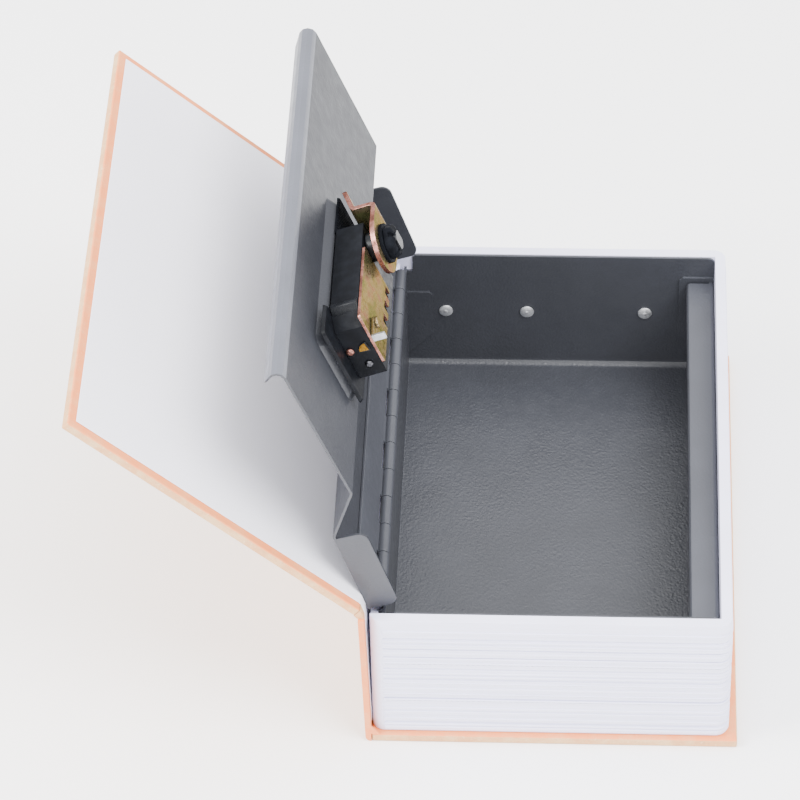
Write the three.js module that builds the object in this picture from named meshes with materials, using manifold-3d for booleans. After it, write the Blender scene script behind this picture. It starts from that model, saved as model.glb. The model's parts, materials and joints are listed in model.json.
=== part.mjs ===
// Book diversion safe: a hollow book whose page block holds a folded steel box
// with a hinged steel lid and a three dial combination lock.
// Millimetres, +Z up. The origin is the centre of the back board's underside,
// the spine is on the -X side and the tail of the book faces -Y.
// The book is shown open, and every angle is measured from closed.

import * as THREE from 'three';
import { mergeVertices } from 'three/addons/utils/BufferGeometryUtils.js';
import Module from 'manifold-3d';

const wasm = await Module();
wasm.setup();

// Book boards
const boardWidth = 114;
const boardLength = 178;
const boardThickness = 3;
const spineThickness = 1.9;
const spineRise = 1.4;
const spineGap = 0.2;
const spineLean = 1.2;
const spineFold = 1.8;
const coverShort = 2.6;
const coverAxisOut = 2;
const coverAxisRise = 1.4;
const coverDrop = 1.3;
const coverAngle = 137.5;
const jointWidth = 1.8;
const jointThickness = 0.8;
const jointTail = { x: -0.4, z: 1.33 };
const jointBend = { x: 0.5, z: 0.75 };
const jointEnd = 0.45;
const paperThickness = 0.25;
const paperStart = 2.4;
const turnIn = 2.8;

// Page block
const foreOverhang = 3;
const endOverhang = 2;
const pageHeight = 49;
const pageWall = 3.4;
const pageSpineWall = 2.4;
const pageCorner = 4;
const grooveDepth = 0.4;
const grooveHeight = 0.7;
const smoothStrip = 4;
const leafHeights = [0.6, 3.6, 7.3, 10, 14.4, 18.6, 23, 27.6, 32.5, 36.5, 40.8];

// Steel box
const sheet = 0.8;
const endBend = 2.6;
const sideBend = 0.9;
const boxDrop = 0.3;
const wallCorner = 2.2;
const hingeNotchWidth = 2.7;
const hingeNotchDepth = 7;
const notchChamfer = 1;
const shelfWidth = 9.2;
const shelfDrop = 6.9;
const shelfLip = 5;
const shelfEndGap = 1.35;
const sideEndGap = 0.2;
const tabLap = 0.05;
const tabCorner = 1.2;
const spineTab = { width: 9.3, top: 32.8, knee: 14.7, bottom: 4.4 };
const foreTab = { width: 11.6, top: 40.8, bottom: 13 };
const rivetRadius = 2.35;
const rivetShank = 1.4;
const rivetGrip = 1.3;
const rivetRim = 0.35;
const rivetCrown = 0.6;
const crownShare = 0.85;
const rivetShares = [0.1324, 0.3961, 0.7797];
const rivetHeight = 24.2;

// Hinge
const pinRadius = 0.85;
const pinOut = 0.2;
const boreRadius = 1.05;
const knuckleRadius = 1.9;
const knucklePitch = 12.27;
const firstKnuckle = 9.6;
const knuckleGap = 0.3;
const hingeNearGap = 5;
const hingeFarGap = 6.8;
const leafThickness = 0.8;
const lidLeafWidth = 17.6;
const lidLeafNotch = 2.9;
const boxLeafWidth = 16;
const pinInset = 3;
const pinDrop = 2.9;

// Lid: the panel is tilted against the hinge flat, so it meets the shelf squarely
const lidAngle = 108.05;
const panelTilt = 3.25;
const lidEndGap = 2.5;
const lidStart = 2.7;
const lidTop = 2.73;
const lidBend = 1.2;
const stepRun = 15.6;
const panelWidth = 53.1;
const panelForeGap = 1.1;
const panelDepth = 12.08;
const gripLength = 11;
const gripBend = 140;
const gripRadius = 2.5;
const gripInset = 3.4;
const gripCut = 5;
const earStart = 3;
const earEndGap = 1.1;
const earDepth = 10.1;
const earCorner = 3.2;

// Lock, in a frame whose origin is on the panel's inner face under the dial wheels' axis
const lockInset = 32.1;
const lockAlong = -26.6;
const plateauRise = 2.8;
const plateauSlope = 2.3;
const plateauSkin = 0.3;
const plateauCorner = 3;
const plateau = { x0: -16.5, x1: 12.6, y0: -20.5, y1: 47 };
const plateauWindow = { x0: -4.5, x1: 9.4, y0: 27.6, y1: 41.6 };
const footThickness = 1.1;
const footTaper = 0.6;
const foot = { x0: -16.4, x1: 15, y0: -21.3, y1: -7.5, corner: 1.5 };
const housing = { x0: -12, x1: 12, y0: -14.3, y1: 28.5, height: 9, chamferX: 4.5, chamferY: 6 };
const housingCore = { x0: -11, x1: 9, y1: 27.5 };
const wheelRadius = 7.8;
const wheelWidth = 4.8;
const wheelPitch = 6.2;
const wheelCount = 3;
const firstWheel = 2.4;
const wheelDigits = 10;
const wheelFlat = 0.36;
const wheelGroove = 0.44;
const wheelGrooveShare = 0.93;
const spindleRadius = 1.5;
const runningGap = 0.3;
const boltGap = 0.15;
const lockPlate = { x0: -8.2, x1: 11.8, y0: -14.6, y1: 17.5, thickness: 0.9, corner: 0.8 };
const slotDepth = 3.4;
const slotWidth = 3.4;
const bezelCorner = 3;
const bezel = { x0: -13.2, x1: 9.2, y0: -12, y1: 43.4, near: 4, flange: 6, edge: 1.3, bevel: 0.7 };
const shaftX = 6.2;
const shaftY = 22.8;
const shaftRadius = 3.5;
const stemRadius = 3;
const stemFlat = 2.2;
const collarRadius = 4.6;
const knobRadius = 6;
const knobBase = 1.8;
const knobGrip = 4.2;
const knobGripWidth = 4;
const camStandoff = 2.7;
const camThickness = 1.5;
const camBend = 1.3;
const camRadius = 9.2;
const camRiserAt = 9.6;
const camRiser = 7;
const camTongue = 10.3;
const camTongueDrop = 3.6;
const camTip = 1.5;
const washerThickness = 1;
const washerRadius = 6.3;
const nutHeight = 3;
const stemOut = 0.5;
const nutFlats = 10;
const nutSlots = 4;
const nutSlotWidth = 1.6;
const leverX = 2.6;
const leverY = -8.2;
const leverPivot = 1.2;
const leverWidth = 3.6;
const leverLength = 7.2;
const leverRise = 4.5;
const leverSheet = 0.8;
const screwRadius = 1.3;
const screwShank = 0.8;
const screwHead = 0.8;
const screwDepth = 3;
const screwPlaces = [[-0.75, -5.6], [-7.15, -9.2]];

// Gaps
const seat = 0.1;
const turning = 0.3;
const roundSides = 24;

// Derived places
const spineSide = -boardWidth / 2;
const pageWidth = boardWidth - foreOverhang;
const foreEdge = spineSide + pageWidth;
const pageEnd = boardLength / 2 - endOverhang;
const pageBottom = boardThickness + seat;
const pageTop = pageBottom + pageHeight;
const boxFloor = boardThickness + seat;
const boxEnd = pageEnd - pageWall - seat;
const boxFore = foreEdge - pageWall - seat;
const pinX = spineSide + pinInset;
const pinZ = pageTop - pinDrop;
const boxSpine = pinX + seat + leafThickness + seat;
const boxTop = pageTop - boxDrop;
const shelfTop = pinZ - shelfDrop;
const rivetLevel = boxFloor + rivetHeight;
const spineTop = pageTop + spineRise;
const barrelFloor = pinZ - knuckleRadius - turning;
const hingeNear = -boxEnd + hingeNearGap;
const hingeFar = boxEnd - hingeFarGap;
const panelReach = boxFore - pinX - panelForeGap;
const panelStart = panelReach - panelWidth;
const lockX = panelReach - lockInset;
const tilt = THREE.MathUtils.degToRad(panelTilt);

// Closed bodies from three.js geometries
function solid(geometry) {
  const bare = geometry.index ? geometry.toNonIndexed() : geometry.clone();
  bare.deleteAttribute('normal');
  bare.deleteAttribute('uv');
  const merged = mergeVertices(bare, 1e-4);
  const vertProperties = new Float32Array(merged.attributes.position.array);
  const triVerts = new Uint32Array(merged.index.array);
  return new wasm.Manifold(new wasm.Mesh({ numProp: 3, vertProperties, triVerts }));
}

function surface(body) {
  const mesh = body.getMesh();
  const geometry = new THREE.BufferGeometry();
  geometry.setAttribute('position', new THREE.BufferAttribute(mesh.vertProperties, 3));
  geometry.setIndex(new THREE.BufferAttribute(mesh.triVerts, 1));
  geometry.computeVertexNormals();
  return geometry;
}

function block(x0, x1, y0, y1, z0, z1) {
  const geometry = new THREE.BoxGeometry(x1 - x0, y1 - y0, z1 - z0);
  geometry.translate((x0 + x1) / 2, (y0 + y1) / 2, (z0 + z1) / 2);
  return solid(geometry);
}

function upright(shape, z0, z1, curveSegments = 6) {
  const geometry = new THREE.ExtrudeGeometry(shape, { depth: z1 - z0, bevelEnabled: false, curveSegments });
  geometry.translate(0, 0, z0);
  return solid(geometry);
}

// A shape drawn in X and Z, run along Y
function lengthwise(shape, y0, y1, curveSegments = 6) {
  const geometry = new THREE.ExtrudeGeometry(shape, { depth: y1 - y0, bevelEnabled: false, curveSegments });
  geometry.rotateX(Math.PI / 2);
  geometry.translate(0, y1, 0);
  return solid(geometry);
}

// A shape drawn in Y and Z, run along X
function crosswise(shape, x0, x1, curveSegments = 6) {
  const geometry = new THREE.ExtrudeGeometry(shape, { depth: x1 - x0, bevelEnabled: false, curveSegments });
  geometry.rotateX(Math.PI / 2);
  geometry.rotateZ(Math.PI / 2);
  geometry.translate(x0, 0, 0);
  return solid(geometry);
}

function post(radius, x, y, z0, z1, sides = roundSides) {
  const geometry = new THREE.CylinderGeometry(radius, radius, z1 - z0, sides);
  geometry.rotateX(Math.PI / 2);
  geometry.translate(x, y, (z0 + z1) / 2);
  return solid(geometry);
}

function rod(radius, x, z, y0, y1, sides = roundSides) {
  const geometry = new THREE.CylinderGeometry(radius, radius, y1 - y0, sides);
  geometry.translate(x, (y0 + y1) / 2, z);
  return solid(geometry);
}

function roundedRectangle(x0, x1, y0, y1, r) {
  const shape = new THREE.Shape();
  shape.moveTo(x0 + r, y0);
  shape.lineTo(x1 - r, y0);
  shape.absarc(x1 - r, y0 + r, r, -Math.PI / 2, 0);
  shape.lineTo(x1, y1 - r);
  shape.absarc(x1 - r, y1 - r, r, 0, Math.PI / 2);
  shape.lineTo(x0 + r, y1);
  shape.absarc(x0 + r, y1 - r, r, Math.PI / 2, Math.PI);
  shape.lineTo(x0, y0 + r);
  shape.absarc(x0 + r, y0 + r, r, Math.PI, 1.5 * Math.PI);
  return shape;
}

function polygon(points) {
  return new THREE.Shape(points.map(([x, y]) => new THREE.Vector2(x, y)));
}

// A rounded rectangle that is wider by `spread` all round at height z1 than at z0
function taperedPlate(box, z0, z1, spread, corner) {
  const half = new THREE.Vector2((box.x1 - box.x0) / 2, (box.y1 - box.y0) / 2);
  const body = upright(roundedRectangle(-half.x, half.x, -half.y, half.y, corner), 0, 1, 4);
  const mesh = body.getMesh();
  const at = mesh.vertProperties;
  for (let i = 0; i < at.length; i += 3) {
    const share = (z1 > z0 ? at[i + 2] : 1 - at[i + 2]) * spread;
    at[i] += Math.sign(at[i]) * share;
    at[i + 1] += Math.sign(at[i + 1]) * share;
    at[i + 2] = Math.min(z0, z1) + at[i + 2] * Math.abs(z1 - z0);
    at[i] += (box.x0 + box.x1) / 2;
    at[i + 1] += (box.y0 + box.y1) / 2;
  }
  return new wasm.Manifold(mesh);
}

// Section of folded sheet: the sheet's middle line, rounded at each bend. A point
// may carry a radius of its own.
function foldedSection(points, thickness, bend, steps = 3) {
  const path = points.map(([x, y]) => new THREE.Vector2(x, y));
  const left = [];
  const right = [];
  const put = (at, normal) => {
    left.push(at.clone().addScaledVector(normal, thickness / 2));
    right.push(at.clone().addScaledVector(normal, -thickness / 2));
  };
  const normalOf = (a, b) => new THREE.Vector2(a.y - b.y, b.x - a.x).normalize();
  put(path[0], normalOf(path[0], path[1]));
  for (let i = 1; i < path.length - 1; i += 1) {
    const before = normalOf(path[i - 1], path[i]);
    const after = normalOf(path[i], path[i + 1]);
    const turn = Math.atan2(before.cross(after), before.dot(after));
    const side = Math.sign(turn);
    const radius = points[i][2] ?? bend;
    const inward = path[i].clone().sub(path[i - 1]).normalize();
    const start = path[i].clone().addScaledVector(inward, -radius * Math.tan(Math.abs(turn) / 2));
    const centre = start.clone().addScaledVector(before, side * radius);
    for (let k = 0; k <= steps; k += 1) {
      const normal = before.clone().rotateAround(new THREE.Vector2(), (turn * k) / steps);
      put(centre.clone().addScaledVector(normal, -side * radius), normal);
    }
  }
  const last = path.length - 1;
  put(path[last], normalOf(path[last - 1], path[last]));
  return new THREE.Shape([...right, ...left.reverse()]);
}

function finish(color, roughness, metalness) {
  return new THREE.MeshStandardMaterial({ color, roughness, metalness });
}

const printedPaper = () => finish(0xf0c6a0, 0.7, 0);
const whitePaper = () => finish(0xf2f1f4, 0.85, 0);
const whitePlastic = () => finish(0xf3f3f8, 0.45, 0);
const greyCoat = () => finish(0x70747a, 0.45, 0.3);
const blackPlastic = () => finish(0x202226, 0.5, 0);
const zincYellow = () => finish(0xbfae7c, 0.35, 0.9);
const brightSteel = () => finish(0xc8cacd, 0.3, 0.9);
const darkSteel = () => finish(0x3c3e42, 0.4, 0.8);
const aluminium = () => finish(0xd2d4d7, 0.35, 0.9);

function named(name, body, material) {
  const mesh = new THREE.Mesh(surface(body), material);
  mesh.name = name;
  return mesh;
}

// A point of the tilted panel in the lid's frame: along from the hinge and deep inwards
function panelPoint(along, deep) {
  return [along * Math.cos(tilt) + deep * Math.sin(tilt), along * Math.sin(tilt) - deep * Math.cos(tilt)];
}

const book = new THREE.Group();
const cover = new THREE.Group();
const lid = new THREE.Group();
const lock = new THREE.Group();
const cam = new THREE.Group();
cover.position.set(spineSide - coverAxisOut, 0, spineTop + coverAxisRise);
cover.rotation.y = -THREE.MathUtils.degToRad(coverAngle);
lid.position.set(pinX, 0, pinZ);
lid.rotation.y = -THREE.MathUtils.degToRad(lidAngle);
const lockPlace = panelPoint(lockX, panelDepth);
lock.position.set(lockPlace[0], lockAlong, lockPlace[1]);
lock.rotation.y = -tilt;
cam.position.set(shaftX, shaftY, 0);
book.add(cover, lid);
lid.add(lock);
lock.add(cam);

// Boards: the spine leans out a little, and its foot is folded round
function makeBoards() {
  const halfLength = boardLength / 2;
  const back = block(spineSide, boardWidth / 2, -halfLength, halfLength, 0, boardThickness);
  book.add(named('back_board', back, printedPaper()));

  const inner = spineSide - spineGap;
  const outer = inner - spineThickness;
  const section = new THREE.Shape();
  section.moveTo(inner, 0);
  section.lineTo(inner - spineLean, spineTop);
  section.lineTo(outer - spineLean, spineTop);
  section.lineTo(outer, spineFold);
  section.absarc(outer + spineFold, spineFold, spineFold, Math.PI, 1.5 * Math.PI);
  const spine = lengthwise(section, -halfLength, halfLength);
  book.add(named('spine_board', spine, printedPaper()));
}

// Front board, its lining and the paper joint, in the cover's closed place
function makeCover() {
  const halfLength = (boardLength - coverShort) / 2;
  const free = boardWidth + coverAxisOut;
  const under = -coverDrop;
  const board = block(jointWidth, free, -halfLength, halfLength, under, under + boardThickness);
  cover.add(named('front_board', board, printedPaper()));

  const lining = block(paperStart, free - turnIn, turnIn - halfLength, halfLength - turnIn,
    under - seat - paperThickness, under - seat);
  cover.add(named('front_endpaper', lining, whitePaper()));

  const section = foldedSection([[jointTail.x, jointTail.z], [jointBend.x, jointBend.z],
    [jointWidth - seat, jointEnd]], jointThickness, jointThickness, 2);
  cover.add(named('cover_joint', lengthwise(section, -halfLength, halfLength), printedPaper()));
}

// Blind holes for the rivets, through the box's end walls into the page frame
function rivetHoles() {
  const y0 = boxEnd - 2 * sheet;
  const y1 = boxEnd + rivetGrip + boltGap;
  const radius = rivetShank + boltGap;
  return rivetPlaces().flatMap((x) => [
    rod(radius, x, rivetLevel, y0, y1, 16),
    rod(radius, x, rivetLevel, -y1, -y0, 16),
  ]);
}

function rivetPlaces() {
  return rivetShares.map((share) => boxSpine + share * (boxFore - boxSpine));
}

// Page block: a moulded frame with the edges of the leaves on three sides
function makePageFrame() {
  const cornerSteps = 4;
  const outline = roundedRectangle(spineSide, foreEdge, -pageEnd, pageEnd, pageCorner);
  const innerFore = boxFore + seat;
  const innerEnd = boxEnd + seat;
  const innerSpine = spineSide + pageSpineWall;
  let frame = upright(outline, pageBottom, pageTop, cornerSteps);
  frame = frame.subtract(block(innerSpine, innerFore, -innerEnd, innerEnd, pageBottom - 1, pageTop + 1));
  const far = boardWidth;
  leafHeights.forEach((rise) => {
    const height = pageBottom + rise;
    const cutter = new THREE.Shape();
    cutter.moveTo(spineSide + smoothStrip, -far);
    cutter.lineTo(far, -far);
    cutter.lineTo(far, far);
    cutter.lineTo(spineSide + smoothStrip, far);
    const ring = upright(cutter, height, height + grooveHeight);
    const kept = upright(
      roundedRectangle(spineSide + grooveDepth, foreEdge - grooveDepth, grooveDepth - pageEnd,
        pageEnd - grooveDepth, pageCorner - grooveDepth), height - 1, height + 2, cornerSteps);
    frame = frame.subtract(ring.subtract(kept));
  });
  // the spine side is lower, so that the hinge barrel lies over it
  frame = frame.subtract(block(spineSide - 1, innerSpine + 1, -innerEnd, innerEnd, barrelFloor, pageTop + 1));
  rivetHoles().forEach((hole) => { frame = frame.subtract(hole); });
  book.add(named('page_frame', frame, whitePlastic()));
}

// Steel box: floor and end walls folded from one sheet, side walls with tabs
function makeBox() {
  const mid = sheet / 2;
  const ends = foldedSection([[-boxEnd + mid, boxTop], [-boxEnd + mid, boxFloor + mid],
    [boxEnd - mid, boxFloor + mid], [boxEnd - mid, boxTop]], sheet, endBend, 4);
  const wallOutline = new THREE.Shape();
  const notchX = boxSpine + hingeNotchWidth;
  wallOutline.moveTo(boxSpine, boxFloor - 1);
  wallOutline.lineTo(boxFore, boxFloor - 1);
  wallOutline.lineTo(boxFore, boxTop - wallCorner);
  wallOutline.absarc(boxFore - wallCorner, boxTop - wallCorner, wallCorner, 0, Math.PI / 2);
  wallOutline.lineTo(notchX + notchChamfer, boxTop);
  wallOutline.lineTo(notchX, boxTop - notchChamfer);
  wallOutline.lineTo(notchX, boxTop - hingeNotchDepth);
  wallOutline.lineTo(boxSpine, boxTop - hingeNotchDepth);
  let box = crosswise(ends, boxSpine, boxFore);
  box = box.intersect(lengthwise(wallOutline, -boxEnd, boxEnd));

  const lipX = boxFore - shelfWidth + mid;
  const sides = foldedSection([[boxSpine + mid, barrelFloor], [boxSpine + mid, boxFloor + mid],
    [boxFore - mid, boxFloor + mid], [boxFore - mid, shelfTop - mid],
    [lipX, shelfTop - mid], [lipX, shelfTop - sheet - shelfLip]], sheet, sideBend);
  const sideEnd = boxEnd - sheet - sideEndGap;
  const shelfEnd = sideEnd - shelfEndGap;
  const floorEnd = boxEnd - mid - endBend;
  let flats = lengthwise(sides, -sideEnd, sideEnd);
  [[floorEnd, boxEnd], [-boxEnd, -floorEnd]].forEach(([y0, y1]) => {
    flats = flats.subtract(block(boxSpine + 2 * sheet, boxFore - 2 * sheet, y0, y1, 0, boxFloor + 2 * sheet));
  });
  [[shelfEnd, boxEnd], [-boxEnd, -shelfEnd]].forEach(([y0, y1]) => {
    flats = flats.subtract(block(boxFore - shelfWidth - 1, boxFore - 2 * sheet, y0, y1,
      shelfTop - sheet - shelfLip - 1, shelfTop + 1));
  });
  box = box.add(flats);

  [-1, 1].forEach((side) => {
    const y0 = side > 0 ? boxEnd - 2 * sheet : -boxEnd + sheet - tabLap;
    const y1 = y0 + sheet + tabLap;
    const spineEdge = boxSpine + seat;
    const foreEdgeX = boxFore - seat;
    const a = spineTab;
    const b = foreTab;
    const near = polygon([[spineEdge, a.bottom], [boxSpine + a.width, a.knee],
      [boxSpine + a.width, a.top - tabCorner], [boxSpine + a.width - tabCorner, a.top], [spineEdge, a.top]]);
    const far = polygon([[foreEdgeX, b.bottom], [foreEdgeX, b.top], [boxFore - b.width + tabCorner, b.top],
      [boxFore - b.width, b.top - tabCorner], [boxFore - b.width, b.bottom + tabCorner],
      [boxFore - b.width + tabCorner, b.bottom]]);
    const tabs = lengthwise(near, y0, y1).add(lengthwise(far, y0, y1));
    box = box.add(tabs.translate([0, 0, boxFloor]));
  });
  rivetHoles().forEach((hole) => { box = box.subtract(hole); });
  book.add(named('steel_box', box, greyCoat()));
}

// Rivets through each end wall into the page frame, heads inside
function makeRivets() {
  [-1, 1].forEach((side) => {
    rivetPlaces().forEach((x, i) => {
      const shank = rivetGrip + sheet + seat;
      const crown = shank + rivetCrown;
      const profile = [[0, 0], [rivetShank, 0], [rivetShank, shank], [rivetRadius, shank],
        [rivetRadius, shank + rivetRim], [rivetRadius * crownShare, crown], [0, crown]]
        .map(([r, h]) => new THREE.Vector2(r, h));
      const geometry = new THREE.LatheGeometry(profile, 16);
      geometry.rotateX(side > 0 ? Math.PI : 0);
      geometry.translate(x, side * (boxEnd + rivetGrip), rivetLevel);
      const place = side > 0 ? 'head' : 'tail';
      book.add(named(`rivet_${place}_${i + 1}`, solid(geometry), aluminium()));
    });
  });
}

// One leaf of the long hinge, in the lid's closed place round the pin's axis:
// a strip with knuckles curled from every second length of its edge
function hingeLeaf(strip, first, notch) {
  const edges = [hingeFar];
  for (let y = hingeFar - firstKnuckle; y > hingeNear + knuckleRadius; y -= knucklePitch) edges.push(y);
  edges.push(hingeNear);
  const clear = knuckleRadius + turning;
  let leaf = strip;
  const own = [];
  for (let i = 0; i < edges.length - 1; i += 1) {
    const y1 = edges[i] + knuckleGap / 2;
    const y0 = edges[i + 1] - knuckleGap / 2;
    if (i % 2 === first) own.push(rod(knuckleRadius, 0, 0, y0 + knuckleGap, y1 - knuckleGap, 18));
    else leaf = leaf.subtract(block(-clear, notch, y0, y1, -clear, clear));
  }
  leaf = own.reduce((sum, knuckle) => sum.add(knuckle), leaf);
  return leaf.subtract(rod(boreRadius, 0, 0, hingeNear - 1, hingeFar + 1, 14));
}

function makeHinge() {
  const boxStrip = block(seat, seat + leafThickness, hingeNear, hingeFar, -boxLeafWidth, 0);
  const boxLeaf = hingeLeaf(boxStrip, 1, leafThickness + turning).translate([pinX, 0, pinZ]);
  book.add(named('hinge_box_leaf', boxLeaf, greyCoat()));

  const leafTop = lidTop - sheet - seat;
  const lidStrip = block(0, lidLeafWidth, hingeNear, hingeFar, leafTop - leafThickness, leafTop);
  lid.add(named('hinge_lid_leaf', hingeLeaf(lidStrip, 0, lidLeafNotch), greyCoat()));

  const pin = rod(pinRadius, 0, 0, hingeNear - pinOut, hingeFar + pinOut, 14).translate([pinX, 0, pinZ]);
  book.add(named('hinge_pin', pin, brightSteel()));
}

// From the lock's frame into the lid's
function toLid(body) {
  return body.rotate([0, -panelTilt, 0]).translate([lockPlace[0], lockAlong, lockPlace[1]]);
}

// Lid: one sheet with a flat along the hinge, a step down, a main panel with a
// pressed plateau for the lock, a grip lip bent back outwards and two ears
function makeLid() {
  const half = boxEnd - lidEndGap;
  const middle = panelDepth - sheet / 2;
  const bend = THREE.MathUtils.degToRad(gripBend);
  const gripApex = panelReach + gripRadius * (Math.tan(bend / 2) - 1) - sheet / 2;
  const stepEnd = panelPoint(panelStart, middle);
  const flatEnd = stepEnd[0] - stepRun;
  const gripEnd = panelPoint(gripApex + Math.cos(bend) * gripLength, middle - Math.sin(bend) * gripLength);
  const section = foldedSection([[lidStart, lidTop - sheet / 2], [flatEnd, lidTop - sheet / 2], stepEnd,
    [...panelPoint(gripApex, middle), gripRadius], gripEnd], sheet, lidBend, 4);
  let panel = lengthwise(section, -half, half);
  [-1, 1].forEach((side) => {
    const corner = polygon([[gripEnd[0] - 1, side * (half + 1)], [gripEnd[0] - 1, side * (half - gripInset)],
      [gripEnd[0] + gripCut, side * (half + 1)]]);
    panel = panel.subtract(upright(corner, gripEnd[1] - gripCut, lidTop));
  });

  const ear = new THREE.Shape();
  const earEnd = flatEnd - earEndGap;
  const earFoot = lidTop - earDepth;
  const earTop = lidTop - sheet / 2;
  ear.moveTo(earStart, earTop);
  ear.lineTo(earStart, earFoot + earCorner);
  ear.absarc(earStart + earCorner, earFoot + earCorner, earCorner, Math.PI, 1.5 * Math.PI);
  ear.absarc(earEnd - earCorner, earFoot + earCorner, earCorner, -Math.PI / 2, 0);
  ear.lineTo(earEnd, earTop);
  panel = panel.add(lengthwise(ear, -half, -half + sheet)).add(lengthwise(ear, half - sheet, half));

  const outerPlateau = taperedPlate(plateau, plateauSkin, plateauTop, -plateauSlope, plateauCorner);
  const recess = taperedPlate(plateau, 2 * sheet, plateauTop + sheet, -plateauSlope - sheet / 2,
    plateauCorner - sheet / 2);
  const w = plateauWindow;
  const bay = wheelRadius + runningGap;
  const openings = [
    recess,
    block(w.x0, w.x1, w.y0, w.y1, plateauTop - 1, 2 * sheet),
    block(-bay, bay, wheelCentre(0) - wheelWidth, wheelCentre(wheelCount - 1) + wheelWidth,
      plateauTop - 1, 2 * sheet),
    post(shaftRadius + runningGap, shaftX, shaftY, plateauTop - 1, 2 * sheet),
  ];
  panel = panel.add(toLid(outerPlateau));
  openings.forEach((opening) => { panel = panel.subtract(toLid(opening)); });
  lid.add(named('lid_panel', panel, greyCoat()));
}

// Heights in the lock's frame, which fall inwards from the panel's inner face
const plateauTop = -plateauRise;
const footTop = plateauTop - seat - footThickness;
const housingFoot = footTop - seat;
const housingTop = housingFoot - housing.height;
const wheelAxisZ = housingFoot;
const plateTop = housingTop - seat - lockPlate.thickness;
const bezelFace = sheet + seat + bezel.edge;

function wheelCentre(i) {
  return firstWheel + i * wheelPitch;
}

// Round bays for the wheels, cut alike from what they pass through
function wheelBays() {
  const width = wheelWidth + 2 * runningGap;
  const bays = [];
  for (let i = 0; i < wheelCount; i += 1) {
    const y = wheelCentre(i);
    bays.push(rod(wheelRadius + runningGap, 0, wheelAxisZ, y - width / 2, y + width / 2, 32));
  }
  return bays;
}

function makeLockCase() {
  const shaftHole = post(shaftRadius + runningGap, shaftX, shaftY, housingTop - 1, bezelFace + 1);
  const spindleBore = rod(spindleRadius + boltGap, 0, wheelAxisZ, wheelCentre(0) - wheelWidth,
    wheelCentre(wheelCount - 1) + wheelWidth, 16);
  const slots = (z0, z1) => Array.from({ length: wheelCount }, (_, i) => block(lockPlate.x0 - 1,
    lockPlate.x0 + slotDepth, wheelCentre(i) - slotWidth / 2, wheelCentre(i) + slotWidth / 2, z0, z1));

  const footPlate = taperedPlate(foot, plateauTop - seat, footTop, -footTaper, foot.corner);
  lock.add(named('lock_foot', footPlate, blackPlastic()));

  const h = housing;
  const outline = polygon([[h.x0, h.y0], [h.x1 - h.chamferX, h.y0], [h.x1, h.y0 + h.chamferY],
    [h.x1, h.y1], [h.x0, h.y1]]);
  let body = upright(outline, housingTop, housingFoot);
  const c = housingCore;
  body = body.add(block(c.x0, c.x1, foot.y1 + turning, c.y1, housingFoot - 1, plateauTop - seat));
  const screwBore = (x, z) => rod(screwShank + boltGap, x, z, h.y0 - 1, h.y0 + screwDepth + boltGap, 12);
  const cuts = [...wheelBays(), shaftHole, spindleBore, ...slots(housingTop - 1, housingTop + slotDepth),
    ...screwPlaces.map(([x, z]) => screwBore(x, z))];
  cuts.forEach((cut) => { body = body.subtract(cut); });
  lock.add(named('lock_housing', body, blackPlastic()));

  screwPlaces.forEach(([x, z], i) => {
    const profile = [[0, 0], [screwShank, 0], [screwShank, screwDepth], [screwRadius, screwDepth],
      [screwRadius, screwDepth + screwHead / 2], [screwShank, screwDepth + screwHead],
      [0, screwDepth + screwHead]].map(([r, along]) => new THREE.Vector2(r, along));
    const geometry = new THREE.LatheGeometry(profile, 12);
    geometry.rotateX(Math.PI);
    geometry.translate(x, h.y0 + screwDepth - seat, z);
    lock.add(named(`housing_screw_${i + 1}`, solid(geometry), brightSteel()));
  });

  const p = lockPlate;
  let plate = upright(roundedRectangle(p.x0, p.x1, p.y0, p.y1, p.corner), plateTop, housingTop - seat, 3);
  slots(plateTop - 1, housingTop).forEach((slot) => { plate = plate.subtract(slot); });
  lock.add(named('lock_plate', plate, zincYellow()));

  const b = bezel;
  const rim = { x0: b.x0 - b.near, x1: b.x1 + b.flange, y0: b.y0 - b.flange, y1: b.y1 + b.flange };
  let front = taperedPlate(rim, sheet + seat, bezelFace, -b.bevel, bezelCorner);
  front = front.add(upright(roundedRectangle(b.x0, b.x1, b.y0, b.y1, bezelCorner), plateauTop + sheet + seat,
    sheet + 2 * seat));
  [...wheelBays(), shaftHole].forEach((cut) => { front = front.subtract(cut); });
  lock.add(named('lock_bezel', front, blackPlastic()));
}

// Wheels with ten flats, a groove between each two, on one spindle
function makeWheels() {
  const step = (2 * Math.PI) / wheelDigits;
  const groove = [[-wheelFlat, 1], [wheelFlat, 1], [wheelGroove, wheelGrooveShare],
    [1 - wheelGroove, wheelGrooveShare]];
  const points = Array.from({ length: wheelDigits }, (_, k) => groove.map(([turn, share]) => {
    const angle = (k + turn) * step;
    return [Math.cos(angle) * wheelRadius * share, Math.sin(angle) * wheelRadius * share];
  })).flat();
  for (let i = 0; i < wheelCount; i += 1) {
    const wheel = lengthwise(polygon(points), -wheelWidth / 2, wheelWidth / 2)
      .subtract(rod(spindleRadius + boltGap, 0, 0, -wheelWidth, wheelWidth, 16));
    const mesh = named(`dial_wheel_${i + 1}`, wheel, brightSteel());
    mesh.position.set(0, wheelCentre(i), wheelAxisZ);
    lock.add(mesh);
  }
  const reach = wheelWidth - turning;
  const spindle = rod(spindleRadius, 0, wheelAxisZ, wheelCentre(0) - reach,
    wheelCentre(wheelCount - 1) + reach, 16);
  lock.add(named('wheel_spindle', spindle, brightSteel()));
}

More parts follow.
